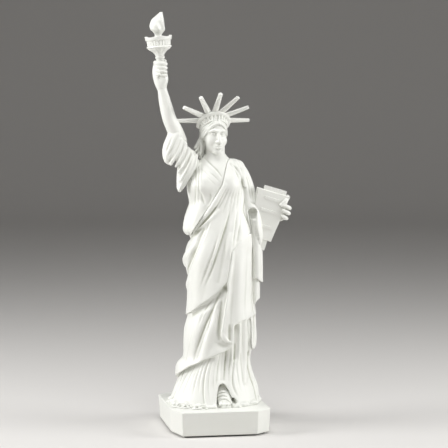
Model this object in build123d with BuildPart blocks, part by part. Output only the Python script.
"""Miniature landmark figure: a robed torch bearer on a low block, cast in white resin.

Frame: millimetres, +Z up, the figure faces -Y, the origin is the centre of the underside.
The figure is a set of separate castings that sit in each other's sockets on steel dowels.
"""

import os
from math import cos, radians, sin

from build123d import *

# ---------------------------------------------------------------- driving dimensions
HEIGHT = 300.0  # felt to flame tip
PAD_THICK = 1.6
PAD_PROUD = 1.2  # how far the felt stands below the block
PAD_INSET = 4.0
PLINTH_HALF_X = 35.5
PLINTH_HALF_Y = 43.0
PLINTH_TOP = 18.4
PLINTH_DRAFT = 1.0  # the walls lean out by this much from bottom to top

HEM_SEAM = 62.0  # where the lower robe's top sits inside the mantle
WAIST_SEAM = 158.0  # where the bodice sits on the mantle
NECK_SEAM = 190.0  # floor of the neck's socket in the bodice

HEAD_CENTRE = (1.0, -1.0, 212.5)
HEAD_YAW = 10.0  # the head looks a little to the figure's left
HEAD_HALF = (9.4, 11.6, 14.6)
CROWN_LEAN = 46.0  # how far the crown's fan leans forward from upright
CROWN_CENTRE = (1.0, 0.0, 221.0)
CROWN_RADIUS = 11.0
RAY_COUNT = 7
RAY_REACH = 28.0

TORCH_LEAN = 4.0  # the torch leans outwards
TORCH_FOOT = (-38.0, -2.0, 262.0)
GALLERY_RADIUS = 9.4
GALLERY_HEIGHT = 8.2

TABLET_CENTRE = (37.6, -6.5, 154.4)
TABLET_TOP = 24.8
TABLET_BOTTOM = 17.4
TABLET_TALL = 35.5
TABLET_THICK = 5.0
TABLET_ROLL = -12.3
TABLET_YAW = -4.0
TABLET_LEAN = 6.0

DOWEL_RADIUS = 2.0
ROD_RADIUS = 1.0

# Cross-sections of the draped body: height, centre x, centre y, half width, half depth.
LOWER_ROBE = [
    (PLINTH_TOP, 1.0, 0.5, 33.5, 32.0),
    (23.0, 1.5, 0.5, 33.0, 30.5),
    (30.0, 2.0, 1.0, 30.5, 27.5),
    (38.0, 2.0, 1.5, 27.5, 25.0),
    (50.0, 3.5, 2.0, 23.5, 22.0),
    (HEM_SEAM, 4.5, 2.0, 22.0, 20.0),
]
MANTLE = [
    (40.0, 2.0, 2.0, 28.0, 27.5),
    (50.0, 3.5, 2.0, 27.0, 25.5),
    (65.0, 4.5, 2.0, 26.5, 24.0),
    (85.0, 5.2, 2.0, 25.5, 23.0),
    (106.0, 4.8, 1.5, 25.0, 22.5),
    (121.0, 3.8, 1.0, 26.0, 22.0),
    (135.0, 4.6, 1.0, 24.6, 20.5),
    (147.0, 3.6, 1.0, 25.0, 19.0),
    (WAIST_SEAM, 4.2, 1.0, 22.4, 17.0),
]
BODICE = [
    (WAIST_SEAM, 3.5, 1.0, 21.0, 16.0),
    (170.0, 1.5, 0.5, 20.5, 15.5),
    (182.0, 1.0, 0.5, 20.5, 14.5),
    (190.0, 1.5, 1.0, 17.5, 12.0),
    (196.0, 2.0, 1.5, 11.0, 9.0),
]
# The cloth that hangs from the left forearm.
MANTLE_FALL = [
    (87.0, 30.6, 1.5, 4.2, 8.5),
    (106.0, 31.6, -1.0, 4.8, 10.0),
    (135.0, 31.6, -4.0, 4.8, 9.5),
    (150.0, 31.0, -7.0, 4.8, 7.0),
]

# Limbs: x, y, z and radius along the middle of each.
RIGHT_SLEEVE = [
    (-9.0, 2.0, 190.0, 11.0),
    (-19.0, 1.0, 197.0, 11.5),
    (-27.0, 0.0, 207.0, 9.0),
    (-27.5, 0.0, 214.0, 7.2),
]
SLEEVE_LOBE = [
    (-31.0, -1.0, 203.0, 5.5),
    (-32.0, -1.0, 196.0, 5.0),
    (-30.0, -1.0, 191.0, 2.5),
]
SLEEVE_TAIL = [
    (-19.0, -3.0, 192.0, 6.5),
    (-22.0, -4.0, 182.0, 5.0),
    (-24.0, -4.0, 172.5, 2.5),
]
RIGHT_ARM = [
    (-23.0, 1.0, 203.0, 5.4),
    (-27.5, 0.0, 212.0, 5.4),
    (-31.5, -1.0, 222.0, 4.9),
    (-35.0, -1.5, 234.0, 4.4),
    (-37.4, -2.0, 246.0, 3.3),
]
RIGHT_HAND = [
    (-37.4, -2.0, 246.0, 3.3),
    (-38.0, -2.0, 250.0, 4.4),
    (-38.5, -2.0, 257.0, 5.2),
    (-38.9, -2.0, 265.0, 4.6),
    (-39.0, -2.0, 267.0, 3.0),
]
LEFT_SLEEVE = [
    (13.0, 2.0, 190.0, 6.5),
    (18.5, 1.0, 183.0, 8.5),
    (23.0, 0.0, 172.0, 8.5),
    (26.5, -3.0, 160.0, 7.5),
    (28.0, -5.0, 150.0, 5.0),
]
LEFT_FOREARM = [
    (26.5, 2.0, 158.0, 5.0),
    (37.0, 1.5, 158.5, 4.2),
    (47.5, 0.5, 159.5, 3.4),
]
LEFT_PALM = [
    (49.8, 0.8, 150.0, 2.6),
    (51.2, 0.8, 158.0, 3.8),
    (51.6, 0.8, 167.0, 2.6),
]
# Left fingers: x and z where each rounds the tablet's edge, then x and z of its tip.
LEFT_FINGERS = [
    (54.0, 167.0, 47.5, 162.5),
    (55.2, 158.8, 49.0, 161.0),
    (54.4, 155.0, 49.0, 157.0),
    (52.8, 151.4, 48.8, 153.6),
]
FOOT_CENTRE = (4.0, -21.0)
FOOT_HALF = (4.6, 8.5)
FOOT_HEIGHT = 9.0


# ---------------------------------------------------------------- helpers
def ellipse_stack(sections):
    """A closed solid through a stack of level ellipses."""
    with BuildPart() as stack:
        for z, cx, cy, half_x, half_y in sections:
            with BuildSketch(Plane.XY.offset(z)):
                with Locations((cx, cy)):
                    Ellipse(half_x, half_y)
        loft()
    return stack.part


def across(run):
    """A direction that is never along the run, for the start of its circles."""
    return (1, 0, 0) if abs(run.Y) > max(abs(run.X), abs(run.Z)) else (0, 1, 0)


def limb(points):
    """A closed solid through circles strung along a line of points."""
    side = across(Vector(*points[-1][:3]) - Vector(*points[0][:3]))
    with BuildPart() as stack:
        for i, (x, y, z, r) in enumerate(points):
            before = Vector(*points[max(i - 1, 0)][:3])
            after = Vector(*points[min(i + 1, len(points) - 1)][:3])
            with BuildSketch(Plane(origin=(x, y, z), x_dir=side, z_dir=after - before)):
                Circle(r)
        loft()
    return stack.part


def rod(start, end, radius):
    """A straight round rod from start to end."""
    run = Vector(*end) - Vector(*start)
    with BuildPart() as bar:
        with BuildSketch(Plane(origin=start, x_dir=across(run), z_dir=run)):
            Circle(radius)
        extrude(amount=run.length)
    return bar.part


def placed(plane, solid):
    """The solid moved from its own axes to a plane."""
    return plane.location * solid


def write(name, solid):
    """One STEP file for each piece."""
    solid.label = name
    export_step(solid, f"parts/{name}.step")


os.makedirs("parts", exist_ok=True)

# ---------------------------------------------------------------- steel dowels and the arm's rod
with BuildPart() as plinth_dowels:
    with Locations((-12, 0, 10), (14, 0, 10)):
        Cylinder(DOWEL_RADIUS, 24, align=(Align.CENTER, Align.CENTER, Align.MIN))
with BuildPart() as robe_dowels:
    with Locations((-6, 2, HEM_SEAM - 12), (15, 2, HEM_SEAM - 12)):
        Cylinder(DOWEL_RADIUS, 24, align=(Align.CENTER, Align.CENTER, Align.MIN))
with BuildPart() as waist_dowels:
    with Locations((-4, 1, WAIST_SEAM - 10), (11, 1, WAIST_SEAM - 10)):
        Cylinder(DOWEL_RADIUS, 20, align=(Align.CENTER, Align.CENTER, Align.MIN))
neck_dowel = rod((1.5, 0.5, 180.0), (1.2, -0.2, 206.0), 1.5)
arm_rod = rod((-24.5, 0.5, 207.0), (-37.0, -1.9, 243.0), ROD_RADIUS)
hand_dowel = rod((-37.4, -2.0, 244.5), (-38.6, -2.0, 270.0), ROD_RADIUS)
tablet_dowel = rod((38.0, -5.0, 156.5), (38.0, 2.5, 156.5), ROD_RADIUS)

# ---------------------------------------------------------------- block and felt
# Plan corners at the block's top, anticlockwise from the front left. The front corners are cut unevenly.
PLINTH_PLAN = [
    (-30.0, -PLINTH_HALF_Y),
    (25.0, -PLINTH_HALF_Y),
    (PLINTH_HALF_X, -34.0),
    (PLINTH_HALF_X, 35.0),
    (27.0, PLINTH_HALF_Y),
    (-27.0, PLINTH_HALF_Y),
    (-PLINTH_HALF_X, 36.0),
    (-PLINTH_HALF_X, -22.0),
]
with BuildPart() as plinth:
    with BuildSketch(Plane.XY.offset(PAD_PROUD)):
        Polygon(*PLINTH_PLAN, align=None)
        offset(amount=-PLINTH_DRAFT, kind=Kind.INTERSECTION)
    with BuildSketch(Plane.XY.offset(PLINTH_TOP)):
        Polygon(*PLINTH_PLAN, align=None)
    loft(ruled=True)
    upright = plinth.edges().filter_by(lambda e: abs(e.tangent_at(0.5).Z) > 0.5)
    fillet(upright, radius=1.3)
    fillet(plinth.faces().sort_by(Axis.Z)[0].edges(), radius=1.1)
    fillet(plinth.faces().sort_by(Axis.Z)[-1].edges(), radius=0.7)
    with BuildSketch(Plane.XY):
        Polygon(*PLINTH_PLAN, align=None)
        offset(amount=-PAD_INSET, kind=Kind.INTERSECTION)
    extrude(amount=PAD_THICK, mode=Mode.SUBTRACT)
    add(plinth_dowels.part, mode=Mode.SUBTRACT)

with BuildPart() as felt_pad:
    with BuildSketch():
        Polygon(*PLINTH_PLAN, align=None)
        offset(amount=-PAD_INSET - 0.1, kind=Kind.INTERSECTION)
    extrude(amount=PAD_THICK)

# ---------------------------------------------------------------- the foot under the hem
SOLE_THICK = 1.6
with BuildPart() as left_foot:
    with BuildSketch(Plane.XY.offset(PLINTH_TOP)):
        with Locations(FOOT_CENTRE):
            Ellipse(*FOOT_HALF)
    extrude(amount=SOLE_THICK)
    with BuildSketch(Plane.XY.offset(PLINTH_TOP + SOLE_THICK)):
        with Locations(FOOT_CENTRE):
            Ellipse(FOOT_HALF[0] - 0.5, FOOT_HALF[1] - 0.5)
    with BuildSketch(Plane.XY.offset(PLINTH_TOP + FOOT_HEIGHT)):
        with Locations((FOOT_CENTRE[0], FOOT_CENTRE[1] + 4.5)):
            Ellipse(3.0, 3.2)
    loft()

# ---------------------------------------------------------------- robe, mantle and bodice
ARCH_BACK = 16.0  # how near the arch over the foot comes to the figure's middle
with BuildPart() as lower_robe:
    add(ellipse_stack(LOWER_ROBE))
    # the arched opening over the foot
    with BuildSketch(Plane.XZ.offset(60)):
        with Locations((FOOT_CENTRE[0], PLINTH_TOP)):
            Ellipse(6.0, 15.0)
    extrude(amount=-60 + ARCH_BACK, mode=Mode.SUBTRACT)
    add(left_foot.part, mode=Mode.SUBTRACT)
    add(plinth_dowels.part, mode=Mode.SUBTRACT)
    add(robe_dowels.part, mode=Mode.SUBTRACT)

HEM_SLOPE = 24.0  # the hem climbs from the figure's right knee to the left hip
with BuildPart() as mantle:
    add(ellipse_stack(MANTLE))
    hem = Plane(origin=(-24.0, 0, 43.0), x_dir=(0, 1, 0), z_dir=(-sin(radians(HEM_SLOPE)), 0, cos(radians(HEM_SLOPE))))
    split(bisect_by=hem, keep=Keep.TOP)
    add(lower_robe.part, mode=Mode.SUBTRACT)
    add(robe_dowels.part, mode=Mode.SUBTRACT)
    add(waist_dowels.part, mode=Mode.SUBTRACT)

with BuildPart() as left_sleeve:
    add(limb(LEFT_SLEEVE))
    add(mantle.part, mode=Mode.SUBTRACT)

with BuildPart() as right_arm:
    add(limb(RIGHT_ARM))
    add(arm_rod, mode=Mode.SUBTRACT)
    add(hand_dowel, mode=Mode.SUBTRACT)

with BuildPart() as right_sleeve:
    add(limb(RIGHT_SLEEVE))
    add(limb(SLEEVE_LOBE))
    add(limb(SLEEVE_TAIL))
    add(right_arm.part, mode=Mode.SUBTRACT)
    add(arm_rod, mode=Mode.SUBTRACT)

# ---------------------------------------------------------------- head, hair and crown
head_plane = Plane(origin=HEAD_CENTRE, x_dir=(cos(radians(HEAD_YAW)), sin(radians(HEAD_YAW)), 0), z_dir=(0, 0, 1))
with BuildPart() as skull:
    Sphere(1.0)
    scale(by=HEAD_HALF)
with BuildPart() as head:
    add(placed(head_plane, skull.part))
    add(limb([(1.5, 1.0, NECK_SEAM, 6.5), (1.5, 0.5, 197.0, 5.8), (1.2, 0.0, 206.0, 5.6)]))
    add(right_sleeve.part, mode=Mode.SUBTRACT)
    add(neck_dowel, mode=Mode.SUBTRACT)

with BuildPart() as hair_cap:
    Sphere(1.0)
    scale(by=(HEAD_HALF[0] + 1.6, HEAD_HALF[1] + 1.6, HEAD_HALF[2] + 1.4))
    split(bisect_by=Plane(origin=(0, -4.5, 3.0), x_dir=(1, 0, 0), z_dir=(0, 0.9, 0.45)), keep=Keep.TOP)
with BuildPart() as hair:
    add(placed(head_plane, hair_cap.part))
    with Locations(head_plane.location * Location((0, 10.5, -4.0))):
        Sphere(6.0)
    add(limb([(-4.5, 6.0, 206.0, 5.0), (-6.5, 6.5, 199.0, 4.6), (-7.0, 6.5, 193.0, 3.0)]))
    add(head.part, mode=Mode.SUBTRACT)
    add(right_sleeve.part, mode=Mode.SUBTRACT)
    add(neck_dowel, mode=Mode.SUBTRACT)

with BuildPart() as bodice:
    add(ellipse_stack(BODICE))
    add(right_sleeve.part, mode=Mode.SUBTRACT)
    add(right_arm.part, mode=Mode.SUBTRACT)
    add(left_sleeve.part, mode=Mode.SUBTRACT)
    add(head.part, mode=Mode.SUBTRACT)
    add(hair.part, mode=Mode.SUBTRACT)
    add(waist_dowels.part, mode=Mode.SUBTRACT)
    add(neck_dowel, mode=Mode.SUBTRACT)
    add(arm_rod, mode=Mode.SUBTRACT)

OVERFOLD_PROUD = 1.8
# The overfold's outline in x and z: right hip, chest, left shoulder, upright edge and low corner.
OVERFOLD_OUTLINE = [(-27, 126), (-18.5, 142), (4, 177), (17, 179), (21, 152), (11, 131), (7, 107.5), (-26, 82)]
with BuildPart() as mantle_overfold:
    draped = MANTLE[:-1] + BODICE[:-2]
    add(ellipse_stack([(z, cx, cy, a + OVERFOLD_PROUD, b + OVERFOLD_PROUD) for z, cx, cy, a, b in draped]))
    with BuildSketch(Plane.XZ.offset(60)):
        Polygon(*OVERFOLD_OUTLINE, align=None)
    extrude(amount=-60, mode=Mode.INTERSECT)
    add(ellipse_stack(MANTLE), mode=Mode.SUBTRACT)
    add(ellipse_stack(BODICE), mode=Mode.SUBTRACT)
    add(left_sleeve.part, mode=Mode.SUBTRACT)

# The crown's own axes: X across the head, Y up the leaning fan, Z forward and down along the band.
lean = radians(CROWN_LEAN)
yaw = radians(HEAD_YAW)
fan_up = Vector(sin(yaw) * sin(lean), -cos(yaw) * sin(lean), cos(lean))
fan_side = Vector(cos(yaw), sin(yaw), 0)
crown_plane = Plane(origin=CROWN_CENTRE, x_dir=fan_side, z_dir=fan_side.cross(fan_up))
BAND_THICK = 1.4
BAND_TALL = 7.0
with BuildPart() as band:
    with BuildSketch(Plane.XY.offset(-BAND_TALL / 2)):
        Circle(CROWN_RADIUS + BAND_THICK)
        Circle(CROWN_RADIUS, mode=Mode.SUBTRACT)
        with Locations((0, -CROWN_RADIUS - 1.5)):
            Rectangle(4 * CROWN_RADIUS, 2 * CROWN_RADIUS, mode=Mode.SUBTRACT)
    extrude(amount=BAND_TALL)
with BuildPart() as diadem:
    add(placed(crown_plane, band.part))
    add(head.part, mode=Mode.SUBTRACT)
    add(hair.part, mode=Mode.SUBTRACT)

RAY_BASE = 4.4
RAY_TIP = 2.2
RAY_THICK = 2.4
with BuildPart() as fan:
    for i in range(RAY_COUNT):
        angle = 180.0 * i / (RAY_COUNT - 1)
        with BuildSketch(Plane.XY.offset(-RAY_THICK / 2)):
            with Locations(Rot(0, 0, angle) * Pos(CROWN_RADIUS + BAND_THICK, 0, 0)):
                reach = RAY_REACH - CROWN_RADIUS - BAND_THICK
                corners = [(0, RAY_BASE / 2), (0, -RAY_BASE / 2), (reach, -RAY_TIP / 2), (reach, RAY_TIP / 2)]
                Polygon(*corners, align=None)
        extrude(amount=RAY_THICK)
with BuildPart() as crown_rays:
    add(placed(crown_plane, fan.part))
    add(diadem.part, mode=Mode.SUBTRACT)
    add(right_arm.part, mode=Mode.SUBTRACT)

# ---------------------------------------------------------------- torch and the hand that holds it
torch_up = Vector(-sin(radians(TORCH_LEAN)), 0, cos(radians(TORCH_LEAN)))
torch_plane = Plane(origin=TORCH_FOOT, x_dir=(cos(radians(TORCH_LEAN)), 0, sin(radians(TORCH_LEAN))), z_dir=torch_up)
GALLERY_FLOOR = 12.6
with BuildPart() as handle_turned:
    with BuildSketch(Plane.XZ):
        with BuildLine():
            Polyline((0, -3), (2.2, -3), (2.5, 3), (2.9, 6))
            Spline((2.9, 6), (3.6, 8.5), (7.6, GALLERY_FLOOR), tangents=((0.1, 1), (1, 0.7)))
            Polyline((7.6, GALLERY_FLOOR), (0, GALLERY_FLOOR), (0, -3))
        make_face()
    revolve(axis=Axis.Z)
with BuildPart() as torch_handle:
    add(placed(torch_plane, handle_turned.part))
    add(hand_dowel, mode=Mode.SUBTRACT)

with BuildPart() as gallery_turned:
    inner = GALLERY_RADIUS - 1.5
    top = GALLERY_FLOOR + GALLERY_HEIGHT
    with BuildSketch(Plane.XZ):
        with BuildLine():
            Polyline(
                (0, GALLERY_FLOOR),
                (GALLERY_RADIUS - 1.0, GALLERY_FLOOR),
                (GALLERY_RADIUS - 0.6, GALLERY_FLOOR + 1.2),
                (GALLERY_RADIUS - 1.0, GALLERY_FLOOR + 2.0),
                (GALLERY_RADIUS - 0.4, top - 1.8),
                (GALLERY_RADIUS, top - 1.4),
                (GALLERY_RADIUS, top),
                (inner, top),
                (inner - 0.4, GALLERY_FLOOR + 2.4),
                (0, GALLERY_FLOOR + 2.4),
                (0, GALLERY_FLOOR),
            )
        make_face()
    revolve(axis=Axis.Z)
torch_gallery = placed(torch_plane, gallery_turned.part)

FLAME_RADIUS = 5.3
flame_foot = GALLERY_FLOOR + 2.4
flame_seat = torch_plane.from_local_coords((0, 0, flame_foot))
# Rings of the flame: rise above its foot, sideways shift and radius.
FLAME = [
    (4.0, 0.0, 2.6),
    (9.0, -0.2, 4.7),
    (12.5, 0.0, FLAME_RADIUS),
    (17.0, 0.3, 4.2),
    (21.0, 1.2, 1.9),
]
with BuildPart() as torch_flame:
    with BuildSketch(Plane(origin=flame_seat, x_dir=torch_plane.x_dir, z_dir=torch_up)):
        Circle(3.0)
    for rise, shift, r in FLAME:
        with BuildSketch(Plane.XY.offset(flame_seat.Z + rise)):
            with Locations((flame_seat.X + shift, flame_seat.Y)):
                Circle(r)
    with BuildSketch(Plane.XY.offset(HEIGHT)):
        with Locations((flame_seat.X + 2.0, flame_seat.Y)):
            Circle(0.7)
    loft()

with BuildPart() as right_hand:
    add(limb(RIGHT_HAND))
    add(torch_handle.part, mode=Mode.SUBTRACT)
    add(right_arm.part, mode=Mode.SUBTRACT)
    add(hand_dowel, mode=Mode.SUBTRACT)

# ---------------------------------------------------------------- tablet, left forearm and hand
tablet_plane = Plane(
    Location(TABLET_CENTRE, (90 + TABLET_LEAN, 0, TABLET_YAW)) * Location((0, 0, 0), (0, 0, TABLET_ROLL))
)
EAR_WIDE = 16.5
EAR_UPPER = 2.8
EAR_LOWER = 7.5
EAR_THICK = 3.6
EAR_SHIFT = 0.8
EAR_ROOT = 1.0  # how far an ear runs into the slab
BAR_ROWS = (12.5, 3.5, -8.0)  # heights of the plain raised bars above the tablet's middle
BAR_WIDE = 11.0
BAR_TALL = 2.0
BAR_PROUD = 0.5
with BuildPart() as slab:
    with BuildSketch(Plane.XY.offset(-TABLET_THICK / 2)):
        half = TABLET_TALL / 2
        Polygon(
            (-TABLET_TOP / 2, half),
            (-TABLET_BOTTOM / 2, -half),
            (TABLET_BOTTOM / 2, -half),
            (TABLET_TOP / 2, half),
            align=None,
        )
    extrude(amount=TABLET_THICK)
    fillet(slab.edges(), radius=0.5)
    with BuildSketch(Plane.XY.offset(-EAR_THICK / 2)):
        with Locations((EAR_SHIFT, half + EAR_UPPER / 2 - EAR_ROOT / 2)):
            Rectangle(EAR_WIDE, EAR_UPPER + EAR_ROOT)
        with Locations((0, -half - EAR_LOWER / 2 + EAR_ROOT / 2)):
            Rectangle(EAR_WIDE - 4.5, EAR_LOWER + EAR_ROOT)
    extrude(amount=EAR_THICK)
    with BuildSketch(Plane.XY.offset(TABLET_THICK / 2 - 0.3)):
        for row in BAR_ROWS:
            with Locations((0, row)):
                Rectangle(BAR_WIDE, BAR_TALL)
    extrude(amount=BAR_PROUD + 0.3)
with BuildPart() as tablet:
    add(placed(tablet_plane, slab.part))
    add(left_sleeve.part, mode=Mode.SUBTRACT)
    add(mantle.part, mode=Mode.SUBTRACT)
    add(tablet_dowel, mode=Mode.SUBTRACT)

with BuildPart() as left_hand:
    add(limb(LEFT_FOREARM))
    for edge_x, edge_z, tip_x, tip_z in LEFT_FINGERS:
        knuckle = (edge_x - 2.5, 1.0, edge_z - 0.4)
        bend = (edge_x, -4.5, edge_z)
        turn = (edge_x - 1.8, -10.2, (edge_z + tip_z) / 2)
        tip = (tip_x, -10.8, tip_z)
        for start, end, radius in ((knuckle, bend, 1.7), (bend, turn, 1.6), (turn, tip, 1.5)):
            add(rod(start, end, radius))
            with Locations(end):
                Sphere(radius)
    add(limb(LEFT_PALM))
    add(tablet.part, mode=Mode.SUBTRACT)
    add(left_sleeve.part, mode=Mode.SUBTRACT)
    add(mantle.part, mode=Mode.SUBTRACT)
    add(tablet_dowel, mode=Mode.SUBTRACT)

with BuildPart() as mantle_fall:
    add(ellipse_stack(MANTLE_FALL))
    for other in (mantle, mantle_overfold, left_sleeve, left_hand, tablet, bodice, lower_robe):
        add(other.part, mode=Mode.SUBTRACT)

# ---------------------------------------------------------------- the broken shackle at the hem
LINK_RADIUS = 2.4
LINK_WIRE = 0.9
LINK_PLACES = ((-28.0, -22.6), (-21.4, -28.4), (-14.2, -32.4))
with BuildPart() as broken_chain:
    for x, y in LINK_PLACES:
        with Locations((x, y, PLINTH_TOP + LINK_WIRE)):
            Torus(LINK_RADIUS, LINK_WIRE)

write("plinth", plinth.part)
write("felt_pad", felt_pad.part)
write("left_foot", left_foot.part)
write("lower_robe", lower_robe.part)
write("mantle", mantle.part)
write("mantle_overfold", mantle_overfold.part)
write("mantle_fall", mantle_fall.part)
write("bodice", bodice.part)
write("right_sleeve", right_sleeve.part)
write("right_arm", right_arm.part)
write("right_hand", right_hand.part)
write("left_sleeve", left_sleeve.part)
write("left_hand", left_hand.part)
write("tablet", tablet.part)
write("head", head.part)
write("hair", hair.part)
write("diadem", diadem.part)
write("crown_rays", crown_rays.part)
write("torch_handle", torch_handle.part)
write("torch_gallery", torch_gallery)
write("torch_flame", torch_flame.part)
write("broken_chain", broken_chain.part)
write("plinth_dowels", plinth_dowels.part)
write("robe_dowels", robe_dowels.part)
write("waist_dowels", waist_dowels.part)
write("neck_dowel", neck_dowel)
write("arm_rod", arm_rod)
write("hand_dowel", hand_dowel)
write("tablet_dowel", tablet_dowel)
